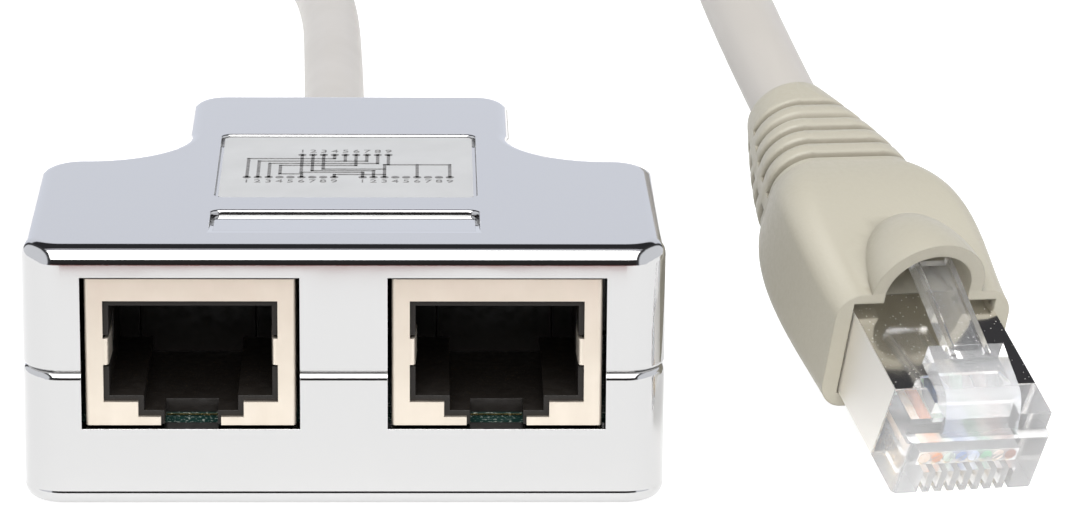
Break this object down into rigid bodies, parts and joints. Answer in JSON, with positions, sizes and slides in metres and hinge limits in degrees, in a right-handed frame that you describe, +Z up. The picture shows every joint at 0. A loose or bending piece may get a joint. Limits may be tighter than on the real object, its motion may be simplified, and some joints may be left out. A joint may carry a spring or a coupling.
{
  "type": "rj45 splitter adapter",
  "caption": "Network socket splitter: bright T-shaped housing with side-by-side shielded sockets, and a round lead to a booted shielded plug.",
  "frame": {"origin": "middle of the housing's base, on the surface it stands on", "axes": "+X across the housing to the right of someone facing the sockets, +Y from the sockets to the lead's exit, +Z up"},
  "size_m": [0.0814, 0.2027, 0.0303],
  "materials": {
    "chrome_plating": "bright plating on moulded plastic",
    "label_silver": "satin printed film",
    "socket_tinplate": "satin tin plate, warm",
    "socket_plastic": "dark moulded plastic",
    "contact_gold": "gold-plated spring strip",
    "board_green": "green solder mask",
    "tie_natural": "natural nylon",
    "lead_jacket": "soft warm-grey sheath",
    "boot_beige": "soft grey-beige moulding",
    "plug_clear": "clear moulded plastic",
    "plug_shell": "bright folded sheet",
    "wire_white_orange": "thin wire insulation",
    "wire_orange": "thin wire insulation",
    "wire_white_green": "thin wire insulation",
    "wire_blue": "thin wire insulation",
    "wire_white_blue": "thin wire insulation",
    "wire_green": "thin wire insulation",
    "wire_white_brown": "thin wire insulation",
    "wire_brown": "thin wire insulation"
  },
  "bodies": {
    "root": {"board_wire_blue": "wire_blue", "board_wire_brown": "wire_brown", "board_wire_green": "wire_green", "board_wire_orange": "wire_orange", "board_wire_white_blue": "wire_white_blue", "board_wire_white_brown": "wire_white_brown", "board_wire_white_green": "wire_white_green", "board_wire_white_orange": "wire_white_orange", "boot": "boot_beige", "cable_jacket": "lead_jacket", "cable_tie": "tie_natural", "circuit_board": "board_green", "label_plate": "label_silver", "left_socket_block": "socket_plastic", "left_socket_contact_1": "contact_gold", "left_socket_contact_2": "contact_gold", "left_socket_contact_3": "contact_gold", "left_socket_contact_4": "contact_gold", "left_socket_contact_5": "contact_gold", "left_socket_contact_6": "contact_gold", "left_socket_contact_7": "contact_gold", "left_socket_contact_8": "contact_gold", "left_socket_insert": "socket_plastic", "left_socket_shield": "socket_tinplate", "lower_shell": "chrome_plating", "plug_blade_1": "contact_gold", "plug_blade_2": "contact_gold", "plug_blade_3": "contact_gold", "plug_blade_4": "contact_gold", "plug_blade_5": "contact_gold", "plug_blade_6": "contact_gold", "plug_blade_7": "contact_gold", "plug_blade_8": "contact_gold", "plug_body": "plug_clear", "plug_shield": "plug_shell", "plug_wire_blue": "wire_blue", "plug_wire_brown": "wire_brown", "plug_wire_green": "wire_green", "plug_wire_orange": "wire_orange", "plug_wire_white_blue": "wire_white_blue", "plug_wire_white_brown": "wire_white_brown", "plug_wire_white_green": "wire_white_green", "plug_wire_white_orange": "wire_white_orange", "right_socket_block": "socket_plastic", "right_socket_contact_1": "contact_gold", "right_socket_contact_2": "contact_gold", "right_socket_contact_3": "contact_gold", "right_socket_contact_4": "contact_gold", "right_socket_contact_5": "contact_gold", "right_socket_contact_6": "contact_gold", "right_socket_contact_7": "contact_gold", "right_socket_contact_8": "contact_gold", "right_socket_insert": "socket_plastic", "right_socket_shield": "socket_tinplate", "upper_shell": "chrome_plating"}
  },
  "joints": []
}
